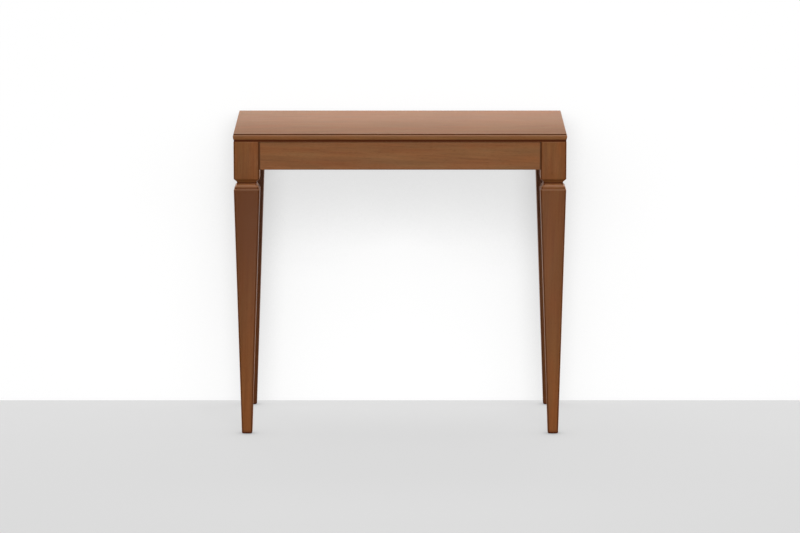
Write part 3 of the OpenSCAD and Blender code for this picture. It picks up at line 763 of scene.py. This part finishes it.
def clamping_bolts(thread_depth=0.14, tip=0.0012, bore_length=0.1):
    """Threaded bars that start at the place, each with a washer and a nut near its upper end."""
    tree, given = new_tree("clamping_bolts", (
        "Bolt Radius", "Length", "Pitch", "Seat",
        "Washer Radius", "Washer Height", "Nut Radius", "Nut Height",
    ))
    bar = threaded(tree, given["Bolt Radius"], given["Length"], given["Pitch"], thread_depth, tip)
    bore_radius = calc(tree, "MULTIPLY", given["Bolt Radius"], 1.02)
    bore = round_bar(tree, bore_radius, bore_length, 32, 1)[0]
    washer = round_bar(tree, given["Washer Radius"], given["Washer Height"], 48, 1)[0]
    washer = cut(tree, "DIFFERENCE", washer, bore)
    half = calc(tree, "MULTIPLY", given["Washer Height"], 0.5)
    washer = shifted(tree, washer, calc(tree, "ADD", given["Seat"], half))
    prism = round_bar(tree, given["Nut Radius"], given["Nut Height"], 6, 1)[0]
    barrel, parts = round_bar(tree, given["Nut Radius"], given["Nut Height"], 48, 12)[:2]
    end = calc(tree, "DIVIDE", calc(tree, "MULTIPLY", parts["Z"], 2.0), given["Nut Height"])
    round_off = calc(tree, "MULTIPLY", calc(tree, "POWER", calc(tree, "ABSOLUTE", end), 8.0), 0.14)
    barrel = reshaped(tree, barrel, parts, calc(tree, "SUBTRACT", 1.01, round_off))
    nut = cut(tree, "DIFFERENCE", cut(tree, "INTERSECT", prism, barrel), bore)
    seat = calc(tree, "ADD", given["Seat"], given["Washer Height"])
    nut = shifted(tree, nut, calc(tree, "ADD", seat, calc(tree, "MULTIPLY", given["Nut Height"], 0.5)))
    set_out(tree, given, joined(tree, bar, washer, nut))
    return tree


def screws_in(node, face, shank, head_height):
    """Places of the screws with that head in a CAD node, grouped by length."""
    groups = {}
    tips = round_faces(node, shank)
    for centre, outward in round_faces(node, face):
        seat = centre - outward * head_height
        lengths = []
        for tip, way in tips:
            length = (seat - tip).dot(outward)
            aside = (seat - outward * length - tip).length
            if length > 0.001 and aside < 0.0003 and way.dot(outward) < -0.9:
                lengths.append(length)
        groups.setdefault(round(min(lengths), 4), []).append((seat, -outward))
    return groups


zinc = zinc_plate()
screw_tree = recessed_screws()
bolt_tree = clamping_bolts()
pan_head = {
    "Shank Radius": 0.00195, "Pitch": 0.0018, "Seat Radius": 0.00375, "Face Radius": 0.0029,
    "Head Height": 0.0022, "Dome": 3.0, "Recess": 0.0026,
}
sunk_head = {
    "Shank Radius": 0.00145, "Pitch": 0.0013, "Seat Radius": 0.0015, "Face Radius": 0.0026,
    "Head Height": 0.0012, "Dome": 1.0, "Recess": 0.0016,
}
nut_across_flats = 0.013
bolt_sizes = {
    "Bolt Radius": 0.00395, "Length": 0.068, "Pitch": 0.00125, "Seat": 0.054,
    "Washer Radius": 0.010, "Washer Height": 0.0016,
    "Nut Radius": nut_across_flats / math.sqrt(3), "Nut Height": 0.0065,
}

# Radii by which the CAD node's heads and shanks are found.
pan_discs = 0.00375, 0.002
sunk_discs = 0.0027, 0.0015
bolt_disc = 0.004

for end in ("front", "rear"):
    for node in (f"{end}_bracket_screws", f"{end}_cleat_screws"):
        meshes = []
        for head, discs in ((pan_head, pan_discs), (sunk_head, sunk_discs)):
            for length, places in screws_in(node, *discs, head["Head Height"]).items():
                tip = 0.004 if length > 0.01 else 0.0005
                sizes = {**head, "Length": length, "Tip": tip}
                meshes.append(baked(screw_tree, places, sizes, zinc))
        fitted(f"{node}_threaded", node, f"{end}_frame", meshes)
    node = f"{end}_leg_bolts"
    discs = round_faces(node, bolt_disc)
    places = [(centre, -outward) for centre, outward in discs if outward.x * centre.x > 0]
    bolts = baked(bolt_tree, places, bolt_sizes, zinc)
    fitted(f"{node}_threaded", node, f"{end}_frame", [bolts])
    finish_node(f"{end}_rail_angles", zinc)
    for hand in ("left", "right"):
        finish_node(f"{end}_corner_bracket_{hand}", zinc)

# ---- Glides -------------------------------------------------------------
# Hard plastic discs with a rounded rim, one let into each foot. Each is held
# by its own nail, which is driven into the end grain.


def moulded_plastic(name, colour, paler, rough):
    """Finely grained plastic, paler where it is worn."""
    made, tree, shader = material(name)
    grain = noise(tree, stretched(tree, 3, 1.0, 0.0006), 3.0, 0.6)
    wear = noise(tree, stretched(tree, 3, 1.0, 0.009), 3.0, 0.6)
    tone = tinted(tree, colour, paler, ramp(tree, wear, [(0.4, 0.0), (0.8, 0.6)]))
    dull = ramp(tree, wear, [(0.3, rough - 0.06), (0.7, rough + 0.08)])
    tree.links.new(tone, shader.inputs["Base Color"])
    tree.links.new(dull, shader.inputs["Roughness"])
    bump = add(tree, "Bump", {"Strength": 0.3, "Distance": 0.0001, "Height": grain})
    tree.links.new(bump.outputs[0], shader.inputs["Normal"])
    return made


glide_plastic = moulded_plastic("glide_plastic", (0.020, 0.017, 0.014), (0.05, 0.045, 0.04), 0.5)


def nailed_glides(point_length=0.003, nail_set=0.0003):
    """Discs with a rounded rim above the place, each with a nail set into its top."""
    tree, given = new_tree("nailed_glides", ("Disc Radius", "Disc Height", "Nail Radius", "Nail Length"))
    bar, parts = round_bar(tree, given["Disc Radius"], given["Disc Height"], 48, 10)[:2]
    low = calc(tree, "SUBTRACT", 0.5, calc(tree, "DIVIDE", parts["Z"], given["Disc Height"]))
    rim = calc(tree, "SUBTRACT", 1.0, calc(tree, "MULTIPLY", calc(tree, "POWER", low, 4.0), 0.16))
    half = calc(tree, "MULTIPLY", given["Disc Height"], 0.5)
    disc = shifted(tree, reshaped(tree, bar, parts, rim), half)
    bar, parts = round_bar(tree, given["Nail Radius"], given["Nail Length"], 24, 20)[:2]
    head = calc(tree, "MULTIPLY", given["Nail Length"], 0.5)
    shoulder = calc(tree, "SUBTRACT", head, point_length)
    nail = reshaped(tree, bar, parts, mapped(tree, parts["Z"], shoulder, head, 1.0, 0.1))
    middle = calc(tree, "ADD", given["Disc Height"], calc(tree, "SUBTRACT", head, nail_set))
    nail = shifted(tree, nail, middle)
    set_out(tree, given, joined(tree, disc, nail))
    return tree


glide_tree = nailed_glides()
glide_radius = 0.008
glide_sizes = {
    "Disc Radius": glide_radius, "Disc Height": 0.0025, "Nail Radius": 0.0015, "Nail Length": 0.015,
}
for end in ("front", "rear"):
    node = f"{end}_foot_glides"
    discs = round_faces(node, glide_radius)
    places = [(centre, -outward) for centre, outward in discs if outward.z < 0]
    glides = baked(glide_tree, places, glide_sizes, glide_plastic)
    fitted(f"{node}_rounded", node, f"{end}_frame", [glides])

# ---- Telescopic rails ---------------------------------------------------
# Two packs of extruded aluminium rails, natural anodised. Each rail has a
# rib that runs in the slot of the one before it, on nylon liners and shoes.


def extruded_aluminium():
    """Natural anodised aluminium with the die's fine lines along it."""
    made, tree, shader = material("rail_aluminium")
    lines = noise(tree, stretched(tree, 1, 0.5, 0.0005), 2.0, 0.6)
    haze = noise(tree, stretched(tree, 1, 0.09, 0.010), 4.0, 0.6)
    colour = tinted(tree, (0.44, 0.45, 0.47), (0.58, 0.585, 0.60), haze)
    tree.links.new(colour, shader.inputs["Base Color"])
    tree.links.new(ramp(tree, haze, [(0.3, 0.32), (0.7, 0.46)]), shader.inputs["Roughness"])
    bump = add(tree, "Bump", {"Strength": 0.35, "Distance": 0.00008, "Height": lines})
    tree.links.new(bump.outputs[0], shader.inputs["Normal"])
    shader.inputs["Metallic"].default_value = 1.0
    return made


aluminium = extruded_aluminium()
nylon = moulded_plastic("slide_nylon", (0.030, 0.030, 0.032), (0.06, 0.06, 0.062), 0.42)
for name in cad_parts:
    if name.startswith(("rail_left_", "rail_right_")):
        finish_node(name, aluminium)
    if name.startswith("slide_nylons_"):
        finish_node(name, nylon)

# ---- Latches ------------------------------------------------------------
# A flat steel lever turns on a plate under the rear top and hooks a stud
# under the front top. A moulded grip is pushed on its tail.

grip_plastic = moulded_plastic("grip_plastic", (0.022, 0.022, 0.024), (0.05, 0.05, 0.052), 0.55)
finish_node("rear_latch_pivots", zinc)
finish_node("front_latch_studs", zinc)
for hand in ("left", "right"):
    finish_node(f"latch_lever_{hand}", zinc)
    finish_node(f"latch_grip_{hand}", grip_plastic)

# ---- Floor and backdrop -------------------------------------------------
# A plain pale grey floor, and close behind the table a white wall that only
# the camera and reflections see, and only from the front. The wall is a card
# with a backdrop that carries it on to the edges of the view.


def studio_surface(name, shown, lit, reach, shade, lean, gloss):
    """A white or grey that is clear from behind.

    shown is the brightness it has of itself, and lit is the share of the lamps'
    light that it gives back. Within reach of the table, as seen towards lean,
    it is darker by up to shade, a painted shadow, with a painted contact shadow
    close to the table. Reflections show the share gloss of its brightness, and
    less of it high on the wall, a painted reflection.
    """
    made, tree, shader = material(name)
    made.cycles.emission_sampling = "NONE"
    path = add(tree, "LightPath")
    height = add(tree, "SeparateXYZ", {0: add(tree, "TexCoord").outputs["Object"]}).outputs["Z"]
    # Painted reflection: reflections see less of it higher up.
    painted_reflection = mapped(tree, height, 0.84, 0.96, gloss, gloss * 0.64)
    mirrored = calc(tree, "MULTIPLY", path.outputs["Is Glossy Ray"], painted_reflection)
    seen = calc(tree, "MAXIMUM", path.outputs["Is Camera Ray"], mirrored)
    shader.inputs["Base Color"].default_value = (lit, lit, lit, 1)
    shader.inputs["Roughness"].default_value = 1.0
    shader.inputs["Specular IOR Level"].default_value = 0.0
    shader.inputs["Emission Color"].default_value = (1, 1, 1, 1)
    way = add(tree, "CombineXYZ", dict(enumerate(lean))).outputs[0]
    # Painted shadow: the glow is darker near the table, and darker again close beside it.
    near = add(tree, "AmbientOcclusion", {"Distance": reach, "Normal": way}, samples=12)
    shadowed_glow = mapped(tree, near.outputs["AO"], 0.5, 0.95, shown - shade, shown)
    close = add(tree, "AmbientOcclusion", {"Distance": reach * 0.2, "Normal": way}, samples=12)
    contact_shadow = mapped(tree, close.outputs["AO"], 0.5, 1.0, shade * 0.8, 0.0)
    shadowed_glow = calc(tree, "SUBTRACT", shadowed_glow, contact_shadow)
    tree.links.new(calc(tree, "MULTIPLY", seen, shadowed_glow), shader.inputs["Emission Strength"])
    behind = add(tree, "NewGeometry").outputs["Backfacing"]
    clear = add(tree, "BsdfTransparent").outputs[0]
    both = add(tree, "MixShader", {0: behind, 1: shader.outputs[0], 2: clear}).outputs[0]
    tree.links.new(both, tree.nodes["Material Output"].inputs[0])
    return made


def sheet(name, half_width, near, far, finish):
    """A flat stage sheet between two lines along X, each given by its place and its height."""
    mesh = bpy.data.meshes.new(name)
    corners = [(-half_width, *near), (half_width, *near), (half_width, *far), (-half_width, *far)]
    mesh.from_pydata(corners, [], [(0, 1, 2, 3)])
    mesh.materials.append(finish)
    made = bpy.data.objects.new(name, mesh)
    bpy.context.scene.collection.objects.link(made)
    return made


floor_grey = studio_surface(
    "floor_grey", shown=0.63, lit=0.10, reach=0.10, shade=0.11, lean=(0, 0, 1), gloss=0.22
)
wall_white = studio_surface(
    "wall_white", shown=0.955, lit=0.06, reach=0.36, shade=0.26, lean=(0, -0.30, 0.95), gloss=0.94
)
floor_half = 60
wall_y = 0.225
wall_half = 2
wall_height = 1.3
backdrop_y = wall_y + 0.002
backdrop_height = 40
sheet("floor", floor_half, (-floor_half, 0), (floor_half, 0), floor_grey)
wall = sheet("wall_card", wall_half, (wall_y, 0), (wall_y, wall_height), wall_white)
backdrop = sheet("backdrop", floor_half, (backdrop_y, 0), (backdrop_y, backdrop_height), wall_white)
backdrop.visible_glossy = False
for card in (wall, backdrop):
    card.visible_shadow = False
    card.visible_diffuse = False

# ---- Light and camera ---------------------------------------------------
# Soft daylight: a large lamp high in front, a low one and two at the sides
# that lift the shadows, one over the rear edge of the top, and one along the
# floor. The camera is far off behind a long lens, and tilted down a little.


def softbox(name, place, aim, wide, high, power, spread=180):
    """A rectangular lamp turned to the aim, in metres, watts and degrees of spread."""
    light = bpy.data.lights.new(name, "AREA")
    light.shape = "RECTANGLE"
    light.size, light.size_y, light.energy = wide, high, power
    light.spread = math.radians(spread)
    made = bpy.data.objects.new(name, light)
    made.location = place
    made.rotation_mode = "QUATERNION"
    made.rotation_quaternion = (Vector(aim) - Vector(place)).to_track_quat("-Z", "Y")
    bpy.context.scene.collection.objects.link(made)
    return made


softbox("key", (0.9, -6.9, 7.6), (0, 0, 0.5), wide=3.4, high=3.4, power=570)
fills = [softbox("low_front", (0, -6.0, 0.65), (0, 0, 0.35), wide=3.0, high=1.1, power=17.5, spread=80)]
for x in (-3.5, 3.5):
    fills.append(softbox("side", (x, 0.25, 0.50), (0, 0.05, 0.40), wide=0.9, high=0.6, power=14, spread=64))
for fill in fills:
    fill.visible_glossy = False
softbox("above_rear", (0, 0.50, 1.65), (0, 0.49, 0.5), wide=1.5, high=0.4, power=16.8)
softbox("kicker", (0, -3.0, 0.2), (0, 0, 0.02), wide=1.4, high=0.2, power=1.9, spread=45)

world = bpy.data.worlds.new("studio")
bpy.context.scene.world = world
world.use_nodes = True
sky = world.node_tree
sky_mirrored = 0.35
sky_lighting = 0.12
path = add(sky, "LightPath").outputs
seen = calc(sky, "MAXIMUM", path["Is Camera Ray"], path["Is Transmission Ray"])
mirrored = calc(sky, "MULTIPLY", path["Is Glossy Ray"], sky_mirrored)
level = calc(sky, "MAXIMUM", calc(sky, "MAXIMUM", seen, mirrored), sky_lighting)
sky.links.new(level, sky.nodes["Background"].inputs["Strength"])
sky.nodes["Background"].inputs["Color"].default_value = (1, 1, 1, 1)

sensor_width = 36
picture_width = 800
focal_pixels = 4225
camera_back = 10.836
camera_height = 2.369
camera_tilt = 10.276
camera = bpy.data.objects.new("camera", bpy.data.cameras.new("camera"))
camera.data.sensor_width = sensor_width
camera.data.lens = sensor_width * focal_pixels / picture_width
camera.data.clip_end = 200
camera.location = (0, -camera_back, camera_height)
camera.rotation_euler = (math.radians(90 - camera_tilt), 0, 0)
bpy.context.scene.collection.objects.link(camera)
bpy.context.scene.camera = camera
bpy.context.scene.view_settings.view_transform = "Standard"
